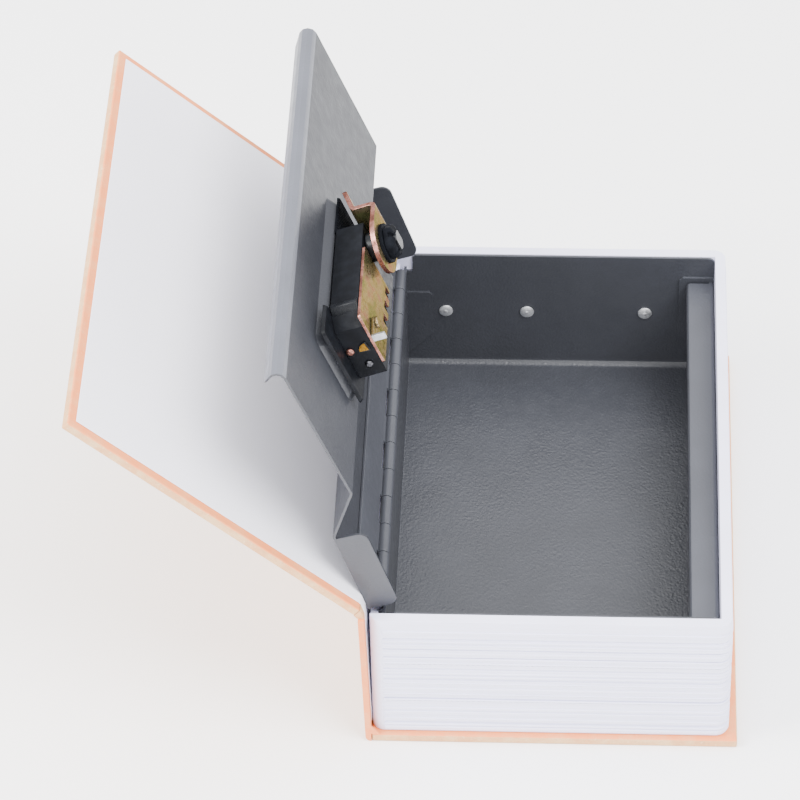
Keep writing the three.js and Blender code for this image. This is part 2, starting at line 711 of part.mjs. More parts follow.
// Knob, shaft, cam, washer and nut turn together about the shaft's axis
function makeCam() {
  const camTop = plateTop - camStandoff;
  const camUnder = camTop - camThickness;
  const washerTop = camUnder - seat;
  const nutTop = washerTop - washerThickness - seat;
  const nutUnder = nutTop - nutHeight;
  const stemEnd = nutUnder - stemOut;
  const knobFoot = bezelFace + turning;
  const socketTop = knobFoot + knobBase + 1;

  const flats = (gap) => block(-stemRadius - 1, stemRadius + 1, -stemFlat - gap, stemFlat + gap, stemEnd - 1,
    camTop + 1);
  const stem = (gap) => post(stemRadius + gap, 0, 0, stemEnd, camTop + 1).intersect(flats(gap));
  const shaft = post(shaftRadius, 0, 0, camTop + 2 * seat, socketTop - boltGap)
    .add(post(collarRadius, 0, 0, camTop + seat, housingTop - turning))
    .add(stem(0));
  cam.add(named('lock_shaft', shaft, brightSteel()));

  const grip = roundedRectangle(-knobGripWidth / 2, knobGripWidth / 2, -knobRadius + turning,
    knobRadius - turning, knobGripWidth / 3);
  const knob = post(knobRadius, 0, 0, knobFoot, knobFoot + knobBase, 32)
    .add(upright(grip, knobFoot + knobBase / 2, knobFoot + knobBase + knobGrip))
    .subtract(post(shaftRadius + boltGap, 0, 0, knobFoot - 1, socketTop));
  cam.add(named('turn_knob', knob, blackPlastic()));

  // the cam's plate drops towards the lid in a riser and ends in a sloped tongue
  const middle = camUnder + camThickness / 2;
  const reach = camRiserAt + camTongue;
  const section = foldedSection([[-camRadius, middle], [camRiserAt, middle], [camRiserAt, middle + camRiser],
    [reach, middle + camRiser + camTongueDrop]], camThickness, camBend);
  const plan = new THREE.Shape();
  plan.moveTo(0, -camRadius);
  plan.lineTo(reach - camTip, -camRadius);
  plan.lineTo(reach + 1, camTip - camRadius);
  plan.lineTo(reach + 1, camRadius - camTip);
  plan.lineTo(reach - camTip, camRadius);
  plan.lineTo(0, camRadius);
  plan.absarc(0, 0, camRadius, Math.PI / 2, 1.5 * Math.PI);
  const plate = lengthwise(section, -camRadius, camRadius)
    .intersect(upright(plan, camUnder - 1, plateauTop, 10))
    .rotate([0, 0, 90])
    .subtract(stem(boltGap));
  cam.add(named('cam_latch', plate, zincYellow()));

  const washer = post(washerRadius, 0, 0, washerTop - washerThickness, washerTop).subtract(stem(boltGap));
  cam.add(named('cam_washer', washer, darkSteel()));

  const across = nutFlats / Math.cos(Math.PI / 6) / 2;
  let nut = post(across, 0, 0, nutUnder, nutTop, 6).subtract(stem(boltGap));
  for (let i = 0; i < nutSlots / 2; i += 1) {
    const slot = block(-nutFlats, nutFlats, -nutSlotWidth / 2, nutSlotWidth / 2, nutUnder - 1,
      nutUnder + nutHeight / 2);
    nut = nut.subtract(slot.rotate([0, 0, 30 + (360 / nutSlots) * i]));
  }
  cam.add(named('cam_nut', nut, darkSteel()));
}

// Lever that frees the wheels for a new number, pivoted on the lock's plate
function makeLever() {
  const under = plateTop - turning;
  const top = under - leverSheet;
  const half = leverWidth / 2;
  const lever = upright(roundedRectangle(-half, half, -leverLength, half, half - seat), top, under, 5)
    .add(block(-half, half, -leverLength, leverSheet - leverLength, plateTop - leverRise, under))
    .subtract(post(leverPivot + boltGap, 0, 0, top - 1, under + 1, 16));
  const mesh = named('reset_lever', lever, brightSteel());
  mesh.position.set(leverX, leverY, 0);
  lock.add(mesh);

  const pivotTop = top - boltGap;
  const pivot = post(leverPivot, leverX, leverY, pivotTop, plateTop - seat, 16)
    .add(post(half, leverX, leverY, pivotTop - leverSheet, pivotTop, 16));
  lock.add(named('lever_pivot', pivot, brightSteel()));
}

makeBoards();
makeCover();
makePageFrame();
makeBox();
makeRivets();
makeHinge();
makeLid();
makeLockCase();
makeWheels();
makeCam();
makeLever();

export default book;
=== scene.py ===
"""Book diversion safe, dressed round its CAD frame: boards in printed paper, moulded
page block, hammered grey steel box and lid, long hinge and three dial lock."""

import json
import math

import bmesh
import bpy
from bpy.props import FloatProperty, FloatVectorProperty, IntProperty, PointerProperty
from mathutils import Matrix, Vector


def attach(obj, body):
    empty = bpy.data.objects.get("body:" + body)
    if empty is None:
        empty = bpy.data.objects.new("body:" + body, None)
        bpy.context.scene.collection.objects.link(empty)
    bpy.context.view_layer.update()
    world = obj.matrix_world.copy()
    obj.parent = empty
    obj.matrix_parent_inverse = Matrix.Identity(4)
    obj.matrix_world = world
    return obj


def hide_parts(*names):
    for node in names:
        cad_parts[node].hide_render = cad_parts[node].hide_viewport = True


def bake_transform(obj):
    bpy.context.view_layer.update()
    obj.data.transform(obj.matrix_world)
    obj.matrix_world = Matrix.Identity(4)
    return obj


bl_info = {
    "name": "Book Safe Dressing",
    "version": (1, 0, 0),
    "blender": (4, 5, 0),
    "location": "View3D > Sidebar > Book Safe",
    "description": "Builds the visible surfaces of a book safe round its frame",
    "category": "Object",
}

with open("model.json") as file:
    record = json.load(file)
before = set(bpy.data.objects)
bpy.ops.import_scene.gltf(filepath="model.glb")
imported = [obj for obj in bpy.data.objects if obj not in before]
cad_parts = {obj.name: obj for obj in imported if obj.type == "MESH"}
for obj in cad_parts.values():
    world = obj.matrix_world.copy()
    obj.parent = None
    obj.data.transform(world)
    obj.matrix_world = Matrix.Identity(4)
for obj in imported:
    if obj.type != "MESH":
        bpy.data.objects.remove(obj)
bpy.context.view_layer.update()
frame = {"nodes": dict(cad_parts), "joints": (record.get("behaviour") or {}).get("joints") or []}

MM = 0.001
LID_OPEN = math.radians(108.05)
COVER_OPEN = math.radians(137.5)
PANEL_TILT = math.radians(3.25)
PIN_PLACE = Vector((-54.0, 0, 49.2))
KNUCKLE = {"outer": 1.9, "bore": 1.05, "gap": 0.3}
KNUCKLE_EDGES = (76.7, *(67.1 - 12.27 * k for k in range(12)), -78.5)
TAB_ROOT = {"up": -2.2, "out": 2.9}
TAB_TIP = 1.2
TAB_LAP = 0.01
RIVET_ROW = (-39.3, -12.0, 27.7)
RIVET_LEVEL = 27.3
RIVET_FOOT = 84.8
# where the shelf's painted light starts, x and z in mm
LIT_SHELF_FROM = (35, 38)
# where the lid lip's painted light starts, mm
LIT_LIP_FROM = 95
PAGE_BOX = {"low": (-57.0, -87.0, 3.1), "high": (54.0, 87.0, 52.1), "corner": 4.0, "margin": 3.9}
THIN_SHARE = 0.55
STILL = Matrix.Identity(4)
FACING = 0.8
PART_EDGE = {"thin": 0.08 * MM, "small": 0.1 * MM, "medium": 0.12 * MM, "rounded": 0.15 * MM,
             "tuck": 0.2 * MM, "grip": 0.3 * MM}
LEVER_MIDDLE = 2.6
LEVER_TAPER = 0.66
WHEEL_SEATS = (2.4, 8.6, 14.8)
WHEEL_AXIS = -4.1
WHEEL_RIM = 7.8
WHEEL_FLAT = math.radians(12)
LOCK_PLACE = (71.3, -26.6, -12.08)
CAMERA_PLACE = (0.0078, -1.0128, 1.0148)
CAMERA_RIGHT = (0.999, 0.04078, -0.01812)
CAMERA_BACK = (0.04213, -0.72812, 0.68416)
CAMERA_LENS = 196.7
LEAF_RISES = (1.5, 5.8, 8.8, 11.2, 13.3, 17.6, 19.7, 21.4, 25.5, 29.7, 35.4, 37.7, 43.9)
THIN_RISES = (2.9, 4.5, 7.2, 10.0, 12.3, 15.4, 18.7, 23.4, 27.5, 32.2, 33.9, 39.9, 42.0, 45.9)

# Cover joint in XZ, mm: the two lines of its paper, the spine's inner face, and where the bend
# starts and ends
JOINT_INNER = ((-58.4, 53.5), (-59.45, 57.07))
JOINT_OUTER = ((-60.3, 53.5), (-61.5, 54.86))
JOINT_STEPS = 8
SPINE_FACE = ((-57.28, 5.0), (-58.38, 53.4))
SPINE_STEPS = 6
SPINE_WAY = (1.0, 0.02)
JOINT_WAY = (0.96, 0.28)
JOINT_REACH = 87.7
LINING_REACH = 84.9
COVER_INSIDE = (2.4, -1.3)

# Paper tuck at each foot of the spine, mm
TUCK_LEFT = ((-57.25, 3.0), (-57.4, 6.4))
TUCK_RIGHT = ((-54.4, 3.0), (-57.2, 6.4))
TUCK_REACH = (88.2, 89.0)

# Lock details in the lock's own axes, mm
RIB = {"start": -10.1, "length": 4.2, "side": 12.0, "slope": 0.75, "from": -8.3, "swell": 0.75,
       "depth": 1.0, "low": -12.9, "high": -4.3, "steps": 12}
TAIL = {"start": 28.8, "pitch": 0.3, "count": 56, "top": -2.95, "face": -3.1, "deep": 0.9,
        "shallow": 0.35, "low": -8.0, "high": 11.0}
LEVER_ROOT = -14.5
LEVER_NECK = -13.5
INLAY_CORNER = (-1.59, -11.36)
INLAY_ANGLES = range(8, 90, 10)
INLAYS = (("inlay_rim", "black_gloss", 3.9, 0.6, -14.65, -14.2),
          ("brass_inlay", "brass", 2.9, 0.0, -14.8, -14.3))
NUT_PROFILE = ((2.95, 0.0), (5.0, 0.0), (5.15, 0.15), (5.15, 1.5), (5.05, 2.0), (4.6, 2.5),
               (3.9, 2.85), (3.1, 3.0), (2.95, 2.9))
NUT_PLACE = (6.2, 22.8, -19.5)
NUT_SIDES = 96
NUT_FLAT = 0.045
SLOT = {"turn": 0.7, "half_width": 0.26, "above": 1.6, "outside": 3.0, "reach": 0.86, "drop": 0.55}
DIGIT_DEPTH = 0.08
DIGIT_LIFT = 0.02
LAMPS = {"key": ((0.75, -0.55, 1.5), 0.9, 52), "fill": ((-0.4, -1.5, 0.9), 1.2, 24),
         "top": ((0.1, 0.5, 1.8), 1.4, 30), "side": ((-1.3, -0.35, 1.1), 0.8, 55)}
SKY = 1.9


def joint_named(name):
    return next(j for j in frame["joints"] if j["name"] == name)


def swung(joint, angle):
    """Matrix from a body's closed place, round its joint's axis, to the rest pose."""
    return Matrix.Translation(Vector(joint_named(joint)["pos_m"])) @ Matrix.Rotation(-angle, 4, "Y")


LID = swung("lid_hinge", LID_OPEN)
COVER = swung("cover_hinge", COVER_OPEN)
LOCK = (LID @ Matrix.Rotation(-PANEL_TILT, 4, "Y")
        @ Matrix.Translation(Vector(LOCK_PLACE) * MM))


class BookSizes(bpy.types.PropertyGroup):
    """Sizes of the boards, paper and page block"""

    board_round: FloatProperty(
        name="Board edge", description="Radius of the covered board edges",
        default=0.55 * MM, unit="LENGTH")
    leaf_proud: FloatProperty(
        name="Leaf ridge", description="How far a ridge stands out of the page block",
        default=0.38 * MM, unit="LENGTH")
    leaf_thick: FloatProperty(
        name="Ridge height", description="Height of a ridge of leaves", default=1.15 * MM,
        unit="LENGTH")
    leaf_drift: FloatProperty(
        name="Ridge drift", description="How far the ridges stray from even heights",
        default=0.12 * MM, unit="LENGTH")
    leaf_seed: IntProperty(name="Leaf seed", description="Seed of the uneven ridges", default=4)
    lining: FloatProperty(
        name="Lining thickness", description="Thickness of the white lining paper",
        default=0.12 * MM, unit="LENGTH")


class MetalSizes(bpy.types.PropertyGroup):
    """Sizes of the sheet metal details"""

    sheet_round: FloatProperty(
        name="Sheet edge", description="Radius of the coated sheet's edges",
        default=0.18 * MM, unit="LENGTH")
    part_round: FloatProperty(
        name="Part edge", description="Radius of the small lock parts' edges",
        default=0.15 * MM, unit="LENGTH")
    rivet_radius: FloatProperty(
        name="Rivet radius", description="Radius of a rivet's head", default=2.35 * MM,
        unit="LENGTH")
    knuckle_sides: IntProperty(
        name="Knuckle sides", description="Facets round a hinge knuckle", default=28)
    digit_height: FloatProperty(
        name="Digit height", description="Height of the digits on the wheels",
        default=2.9 * MM, unit="LENGTH")


class SafeColours(bpy.types.PropertyGroup):
    """Colours of the finishes"""

    coat: FloatVectorProperty(
        name="Steel coat", description="Grey powder coat", subtype="COLOR",
        default=(0.036, 0.038, 0.046), min=0, max=1)
    page: FloatVectorProperty(
        name="Page block", description="White moulded plastic", subtype="COLOR",
        default=(0.76, 0.76, 0.95), min=0, max=1)
    peach: FloatVectorProperty(
        name="Printed paper", description="Peach printed paper", subtype="COLOR",
        default=(0.80, 0.225, 0.065), min=0, max=1)
    tan: FloatVectorProperty(
        name="Printed outside", description="Tan printed paper", subtype="COLOR",
        default=(0.62, 0.31, 0.13), min=0, max=1)
    lining: FloatVectorProperty(
        name="Endpaper", description="White endpaper", subtype="COLOR",
        default=(0.86, 0.85, 0.93), min=0, max=1)
    black: FloatVectorProperty(
        name="Black plastic", description="Lock housing plastic", subtype="COLOR",
        default=(0.004, 0.0045, 0.006), min=0, max=1)


def sizes():
    return bpy.context.scene.safe_book


def metal():
    return bpy.context.scene.safe_metal


def colours():
    return bpy.context.scene.safe_colours


class Nodes:
    """A node tree that is put together socket by socket."""

    tree = None

    def put(self, socket, value):
        if isinstance(value, bpy.types.NodeSocket):
            self.tree.links.new(value, socket)
        elif socket.type == "RGBA":
            socket.default_value = (*value, 1)
        else:
            socket.default_value = value

    def add(self, kind, inputs=None, output=0, **settings):
        node = self.tree.nodes.new(kind)
        for name, value in settings.items():
            setattr(node, name, value)
        for name, value in (inputs or {}).items():
            self.put(node.inputs[name], value)
        return node.outputs[output]

    def maths(self, operation, a, b=0.0):
        return self.add("ShaderNodeMath", {0: a, 1: b}, operation=operation)


class Material(Nodes):
    """A node material."""

    def __init__(self, name):
        self.material = bpy.data.materials.new(name)
        self.material.use_nodes = True
        self.tree = self.material.node_tree
        self.tree.nodes.clear()
        self.output = self.tree.nodes.new("ShaderNodeOutputMaterial")
        self.shader = self.tree.nodes.new("ShaderNodeBsdfPrincipled")
        self.tree.links.new(self.shader.outputs["BSDF"], self.output.inputs["Surface"])
        self.place = self.tree.nodes.new("ShaderNodeTexCoord").outputs["Object"]

    def noise(self, scale, detail=2.0, rough=0.5, at=None, stretch=None):
        at = at or self.place
        if stretch:
            at = self.add("ShaderNodeMapping", {"Vector": at, "Scale": stretch})
        return self.add("ShaderNodeTexNoise", {"Vector": at, "Scale": scale, "Detail": detail,
                                               "Roughness": rough})

    def ramp(self, value, stops):
        node = self.tree.nodes.new("ShaderNodeValToRGB")
        self.tree.links.new(value, node.inputs[0])
        points = node.color_ramp.elements
        while len(points) < len(stops):
            points.new(0.5)
        for point, (at, colour) in zip(points, stops):
            point.position = at
            grey = (colour,) * 3 if isinstance(colour, (int, float)) else colour
            point.color = (*grey, 1)
        return node.outputs[0]

    def mix(self, share, a, b, blend="MIX"):
        node = self.tree.nodes.new("ShaderNodeMix")
        node.data_type = "RGBA"
        node.blend_type = blend
        self.put(node.inputs["Factor"], share)
        self.put(node.inputs[6], a)
        self.put(node.inputs[7], b)
        return node.outputs[2]

    def bump(self, height, strength, distance, below=None):
        inputs = {"Height": height, "Strength": strength, "Distance": distance}
        if below is not None:
            inputs["Normal"] = below
        return self.add("ShaderNodeBump", inputs)

    def finish(self, **sockets):
        for name, value in sockets.items():
            self.put(self.shader.inputs[name.replace("_", " ")], value)
        return self.material


class Shape(Nodes):
    """A geometry node tree with named inputs, whose result becomes a plain mesh."""

    KINDS = {float: "NodeSocketFloat", int: "NodeSocketInt"}

    def __init__(self, name, **values):
        self.tree = bpy.data.node_groups.new(name, "GeometryNodeTree")
        self.values = values
        sockets = self.tree.interface
        sockets.new_socket("Geometry", in_out="INPUT", socket_type="NodeSocketGeometry")
        for key, value in values.items():
            sockets.new_socket(key, in_out="INPUT", socket_type=self.KINDS[type(value)])
        sockets.new_socket("Geometry", in_out="OUTPUT", socket_type="NodeSocketGeometry")
        self.given = self.tree.nodes.new("NodeGroupInput").outputs
        self.result = self.tree.nodes.new("NodeGroupOutput")

    def join(self, *parts):
        node = self.tree.nodes.new("GeometryNodeJoinGeometry")
        for part in parts:
            self.tree.links.new(part, node.inputs[0])
        return node.outputs[0]

    def vector(self, x=0.0, y=0.0, z=0.0):
        return self.add("ShaderNodeCombineXYZ", {0: x, 1: y, 2: z})

    def attribute(self, name, kind="FLOAT"):
        return self.add("GeometryNodeInputNamedAttribute", {0: name}, data_type=kind)

    def over(self, name, limit):
        """Points whose value of an attribute is over a limit."""
        return self.add("FunctionNodeCompare", {0: self.attribute(name), 1: limit},
                        operation="GREATER_THAN")

    def grow(self, name, base, last, kind):
        """The tree, run on a base mesh and kept as one plain mesh."""
        solid = self.add("GeometryNodeRealizeInstances", {0: last})
        painted = self.add("GeometryNodeSetMaterial", {"Geometry": solid, "Material": paint(kind)})
        self.tree.links.new(painted, self.result.inputs[0])
        seed = bpy.data.objects.new("seed", base)
        bpy.context.scene.collection.objects.link(seed)
        modifier = seed.modifiers.new("shape", "NODES")
        modifier.node_group = self.tree
        for socket in self.tree.interface.items_tree:
            if socket.in_out == "INPUT" and socket.name in self.values:
                modifier[socket.identifier] = self.values[socket.name]
        graph = bpy.context.evaluated_depsgraph_get()
        mesh = bpy.data.meshes.new_from_object(seed.evaluated_get(graph))
        bpy.data.objects.remove(seed)
        if not mesh.polygons:
            raise RuntimeError(f"{name} came out empty")
        return mesh_object(name, mesh, kind)


def points_mesh(name, places, edges=(), **attributes):
    """Points, each with its own values, loose or joined by edges."""
    mesh = bpy.data.meshes.new(name)
    mesh.from_pydata([Vector(place) * MM for place in places], list(edges), [])
    for key, values in attributes.items():
        if isinstance(values[0], (tuple, Vector)):
            data = mesh.attributes.new(key, "FLOAT_VECTOR", "POINT").data
            for item, value in zip(data, values):
                item.vector = value
        else:
            data = mesh.attributes.new(key, "FLOAT", "POINT").data
            for item, value in zip(data, values):
                item.value = value
    return mesh


def shade(colour, share):
    return tuple(c * share for c in colour)


def coat_material(name, grain=1.0, share=1.0, gloss=(0.34, 0.44), shine=0.4):
    """Powder coat: orange peel, a fine grain and a soft gloss."""
    m = Material(name)
    # share scales the coat's colour: copies above 1 are painted light, copies below 1 are painted
    # shade
    base = shade(colours().coat, share)
    patches = m.noise(60, 3)
    fine = m.noise(2600, 2)
    tone = m.mix(m.ramp(patches, [(0.3, 0.0), (0.7, 1.0)]), shade(base, 0.93), shade(base, 1.07))
    tone = m.mix(m.ramp(fine, [(0.6, 0.0), (0.8, 0.3)]), tone, shade(base, 1.5))
    cells = m.add("ShaderNodeTexVoronoi", {"Vector": m.place, "Scale": 1250.0, "Smoothness": 1.0},
                  feature="SMOOTH_F1")
    peel = m.mix(0.5, cells, m.noise(850, 1.5, 0.45))
    worn = m.ramp(m.noise(38, 2), [(0.35, 0.55), (0.65, 1.0)])
    skin = m.bump(m.maths("MULTIPLY", peel, worn), 0.5 * grain, 0.45 * MM)
    skin = m.bump(fine, 0.25 * grain, 0.06 * MM, skin)
    rough = m.ramp(m.noise(240, 2), [(0.3, gloss[0]), (0.7, gloss[1])])
    return m.finish(Base_Color=tone, Roughness=rough, Normal=skin, Specular_IOR_Level=shine)


def page_material():
    m = Material("moulded_pages")
    base = tuple(colours().page)
    tone = m.mix(m.ramp(m.noise(30, 4), [(0.35, 0.0), (0.75, 1.0)]), base, shade(base, 0.97))
    leaves = m.noise(900, 2, stretch=(0.05, 0.05, 2.4))
    # darker streaks along the leaves, painted shade in the troughs between them
    tone = m.mix(m.ramp(leaves, [(0.45, 0.0), (0.62, 0.5)]), tone, shade(base, 0.9))
    skin = m.bump(leaves, 0.35, 0.08 * MM)
    skin = m.bump(m.noise(1800, 2), 0.12, 0.03 * MM, skin)
    rough = m.ramp(m.noise(120, 2), [(0.3, 0.34), (0.7, 0.44)])
    return m.finish(Base_Color=tone, Roughness=rough, Normal=skin)


def paper_material(name, base, pale, specks, relief):
    """Printed paper over board, with paler worn patches and tan specks."""
    m = Material(name)
    blot = m.ramp(m.noise(150, 5, 0.65), [(0.42, 0.0), (0.62, pale)])
    tone = m.mix(blot, base, (0.66, 0.42, 0.21))
    speck = m.ramp(m.noise(1300, 3, 0.7), [(0.56, 0.0), (0.72, specks)])
    tone = m.mix(speck, tone, (0.40, 0.25, 0.13))
    worn = m.ramp(m.noise(900, 3, 0.6), [(0.6, 0.0), (0.75, pale)])
    tone = m.mix(worn, tone, (0.74, 0.55, 0.34))
    skin = m.bump(m.noise(2200, 2), relief, 0.05 * MM)
    skin = m.bump(m.noise(220, 3), relief, 0.2 * MM, skin)
    return m.finish(Base_Color=tone, Roughness=0.62, Normal=skin)


def lining_material():
    m = Material("endpaper")
    base = tuple(colours().lining)
    tone = m.mix(m.ramp(m.noise(25, 4), [(0.3, 0.0), (0.75, 1.0)]), base, shade(base, 0.965))
    fibre = m.noise(1600, 3, 0.6, stretch=(1.0, 0.35, 1.0))
    skin = m.bump(fibre, 0.18, 0.04 * MM)
    skin = m.bump(m.noise(14, 2), 0.25, 0.8 * MM, skin)
    return m.finish(Base_Color=tone, Roughness=0.5, Normal=skin)


def black_material(name="black_plastic", rough=(0.34, 0.5), shine=0.09):
    m = Material(name)
    base = tuple(colours().black)
    tone = m.mix(m.ramp(m.noise(300, 3), [(0.4, 0.0), (0.75, 1.0)]), base, shade(base, 1.8))
    skin = m.bump(m.noise(3200, 2), 0.3, 0.03 * MM)
    rough = m.ramp(m.noise(500, 2), [(0.3, rough[0]), (0.7, rough[1])])
    return m.finish(Base_Color=tone, Roughness=rough, Normal=skin, Specular_IOR_Level=shine)


def zinc_material(name, tones, rough=(0.22, 0.36)):
    """Passivated zinc, which drifts through its tints."""
    m = Material(name)
    tone = m.ramp(m.noise(170, 3, 0.6), list(zip(TINT_STOPS, tones)))
    stain = m.ramp(m.noise(1100, 3, 0.65), [(0.5, 0.0), (0.72, 0.45)])
    tone = m.mix(stain, tone, shade(tones[0], 0.45))
    rough = m.ramp(m.noise(700, 3), [(0.3, rough[0]), (0.7, rough[1])])
    skin = m.bump(m.noise(1500, 2, stretch=(1, 6, 1)), 0.12, 0.03 * MM)
    return m.finish(Base_Color=tone, Metallic=0.9, Roughness=rough, Normal=skin,
                    Specular_Tint=tones[1])


def steel_material(name, tone=(0.62, 0.63, 0.65), rough=(0.2, 0.34)):
    m = Material(name)
    worn = m.mix(m.ramp(m.noise(900, 3), [(0.4, 0.0), (0.7, 1.0)]), tone, shade(tone, 0.82))
    skin = m.bump(m.noise(2600, 2, stretch=(1, 8, 1)), 0.15, 0.02 * MM)
    rough = m.ramp(m.noise(400, 3), [(0.3, rough[0]), (0.7, rough[1])])
    return m.finish(Base_Color=worn, Metallic=1.0, Roughness=rough, Normal=skin)


TINT_STOPS = (0.36, 0.46, 0.54, 0.66)
GOLD = ((0.19, 0.195, 0.085), (0.25, 0.205, 0.105), (0.29, 0.235, 0.145), (0.29, 0.17, 0.14))
COPPER = ((0.17, 0.075, 0.06), (0.27, 0.115, 0.09), (0.38, 0.18, 0.15), (0.19, 0.085, 0.065))
BRASS = ((0.17, 0.075, 0.01), (0.22, 0.11, 0.016), (0.30, 0.16, 0.03), (0.17, 0.07, 0.01))
MAKERS = {
    "box_coat": lambda: coat_material("box_coat"),
    # the coat darkened to 0.95 for the walls, painted shade
    "wall_coat_painted_shade": lambda: coat_material("wall_coat_painted_shade", 0.6, 0.95),
    # the coat lightened to 1.35 for the shelf top, painted light
    "shelf_coat_painted_light": lambda: coat_material("shelf_coat_painted_light", 0.35, 1.35),
    # the coat darkened to 0.8 for the lid, painted shade
    "lid_coat_painted_shade": lambda: coat_material("lid_coat_painted_shade", 0.5, 0.8, (0.42, 0.5), 0.2),
    # the coat lightened to 1.3 for the hinge, painted light
    "hinge_coat_painted_light": lambda: coat_material("hinge_coat_painted_light", 0.3, 1.3),
    # the coat lightened to 1.05 for the lid's ears, painted light
    "ear_coat_painted_light": lambda: coat_material("ear_coat_painted_light", 0.4, 1.05),
    # the coat lightened to 2.4 for the lid's lip, painted light
    "lip_coat_painted_light": lambda: coat_material("lip_coat_painted_light", 0.4, 2.4),
    "page": page_material,
    "printed": lambda: paper_material("printed_paper", tuple(colours().tan), 0.9, 0.8, 0.25),
    "turned_in": lambda: paper_material("turned_in_paper", tuple(colours().peach), 0.25, 0.2, 0.15),
    "lining": lining_material,
    "black": black_material,
    "black_gloss": lambda: black_material("black_rim", (0.2, 0.3), 0.2),
    "blackened": lambda: black_material("blackened_steel", (0.3, 0.4), 0.22),
    "soot": lambda: black_material("matt_black", (0.6, 0.7), 0.02),
    "zinc": lambda: zinc_material("yellow_zinc", GOLD),
    "copper": lambda: zinc_material("zinc_edges", COPPER),
    "brass": lambda: zinc_material("brass_inlay", BRASS),
    "steel": lambda: steel_material("bright_steel"),
    "dull": lambda: steel_material("dull_steel", (0.09, 0.09, 0.10), (0.22, 0.34)),
    "lever": lambda: steel_material("lever_steel", (0.42, 0.43, 0.46), (0.3, 0.4)),
    "rivet": lambda: steel_material("rivet_aluminium", (0.88, 0.89, 0.91), (0.42, 0.55)),
    "wheel": lambda: steel_material("wheel_brass", (0.50, 0.36, 0.16), (0.25, 0.38)),
    "ink": lambda: black_material("digit_ink", (0.4, 0.5)),
}
MADE = {}


def paint(kind):
    """Each finish is made once, when a piece first asks for it."""
    if kind not in MADE:
        MADE[kind] = MAKERS[kind]()
    return MADE[kind]


# Mesh helpers

def mesh_object(name, mesh, *kinds):
    obj = bpy.data.objects.new(name, mesh)
    bpy.context.scene.collection.objects.link(obj)
    mesh.materials.clear()
    for kind in kinds:
        mesh.materials.append(paint(kind))
    return obj


def hand_over(obj, body, slot_name, *nodes):
    """The finished piece moves with its body and stands for its CAD nodes."""
    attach(obj, body)
    if nodes:
        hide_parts(*nodes)
    return obj


def frame_mesh(node):
    """A merged copy of a CAD node's mesh, its flat faces joined."""
    work = bmesh.new()
    work.from_mesh(frame["nodes"][node].data)
    bmesh.ops.remove_doubles(work, verts=work.verts, dist=2e-6)
    bmesh.ops.dissolve_limit(work, angle_limit=math.radians(0.5), verts=work.verts,
                             edges=work.edges)
    mesh = bpy.data.meshes.new(node)
    work.to_mesh(mesh)
    work.free()
    return mesh


def soften(obj, width, segments=2, limit=28):
    """Rounded edges, shaded by the large faces beside them."""
    obj.data.shade_smooth()
    obj.data.set_sharp_from_angle(angle=math.radians(limit))
    bevel = obj.modifiers.new("edge", "BEVEL")
    bevel.width = width
    bevel.segments = segments
    bevel.limit_method = "ANGLE"
    bevel.angle_limit = math.radians(limit)
    bevel.use_clamp_overlap = True
    weighted = obj.modifiers.new("shading", "WEIGHTED_NORMAL")
    weighted.weight = 80
    weighted.keep_sharp = True
    return obj


def crisp(obj, limit=32):
    obj.data.shade_smooth()
    obj.data.set_sharp_from_angle(angle=math.radians(limit))
    return obj


def repaint(obj, kind, matrix, test):
    """Faces that pass the test, in a body's own axes, get a further finish."""
    obj.data.materials.append(paint(kind))
    back = matrix.inverted()
    turn = back.to_3x3()
    for face in obj.data.polygons:
        if test(turn @ face.normal, back @ face.center / MM):
            face.material_index = len(obj.data.materials) - 1


def dress(node, body, slot_name, kind, width, name=None, segments=2):
    """A softened copy of a CAD node in its finish."""
    obj = mesh_object(name or f"{node}_skin", frame_mesh(node), kind)
    soften(obj, width, segments)
    return hand_over(obj, body, slot_name, node)


PLANES = {"XZ": (0, 2, 1), "XY": (0, 1, 2), "YZ": (2, 0, 1)}


def band(name, kind, left, right, low, high, plane="XZ"):
    """A solid between two lines of a plane, in mm, drawn along the third axis."""
    order = PLANES[plane]
    ring = [*left, *reversed(right)]
    n = len(ring)
    verts = [Vector([(u, w, t)[i] for i in order]) * MM for t in (low, high) for u, w in ring]
    faces = [(i, (i + 1) % n, (i + 1) % n + n, i + n) for i in range(n)]
    for i in range(len(left) - 1):
        quad = (i, i + 1, n - 2 - i, n - 1 - i)
        faces += [quad, tuple(v + n for v in quad)]
    mesh = bpy.data.meshes.new(name)
    mesh.from_pydata(verts, [], faces)
    work = bmesh.new()
    work.from_mesh(mesh)
    bmesh.ops.recalc_face_normals(work, faces=work.faces)
    work.to_mesh(mesh)
    work.free()
    return crisp(mesh_object(name, mesh, kind))


def between(a, b, steps):
    """Points from a to b in the XZ plane, both ends included."""
    return [tuple(u + (v - u) * k / steps for u, v in zip(a, b)) for k in range(steps + 1)]


def opened_way():
    """World XZ direction away from the open cover's inner side."""
    way = COVER.to_3x3() @ Vector((0, 0, -1))
    return way.x, way.z


def opened(x, z):
    """World XZ place, in mm, of a point in the open cover's own axes."""
    place = COVER @ (Vector((x, 0, z)) * MM) / MM
    return place.x, place.z


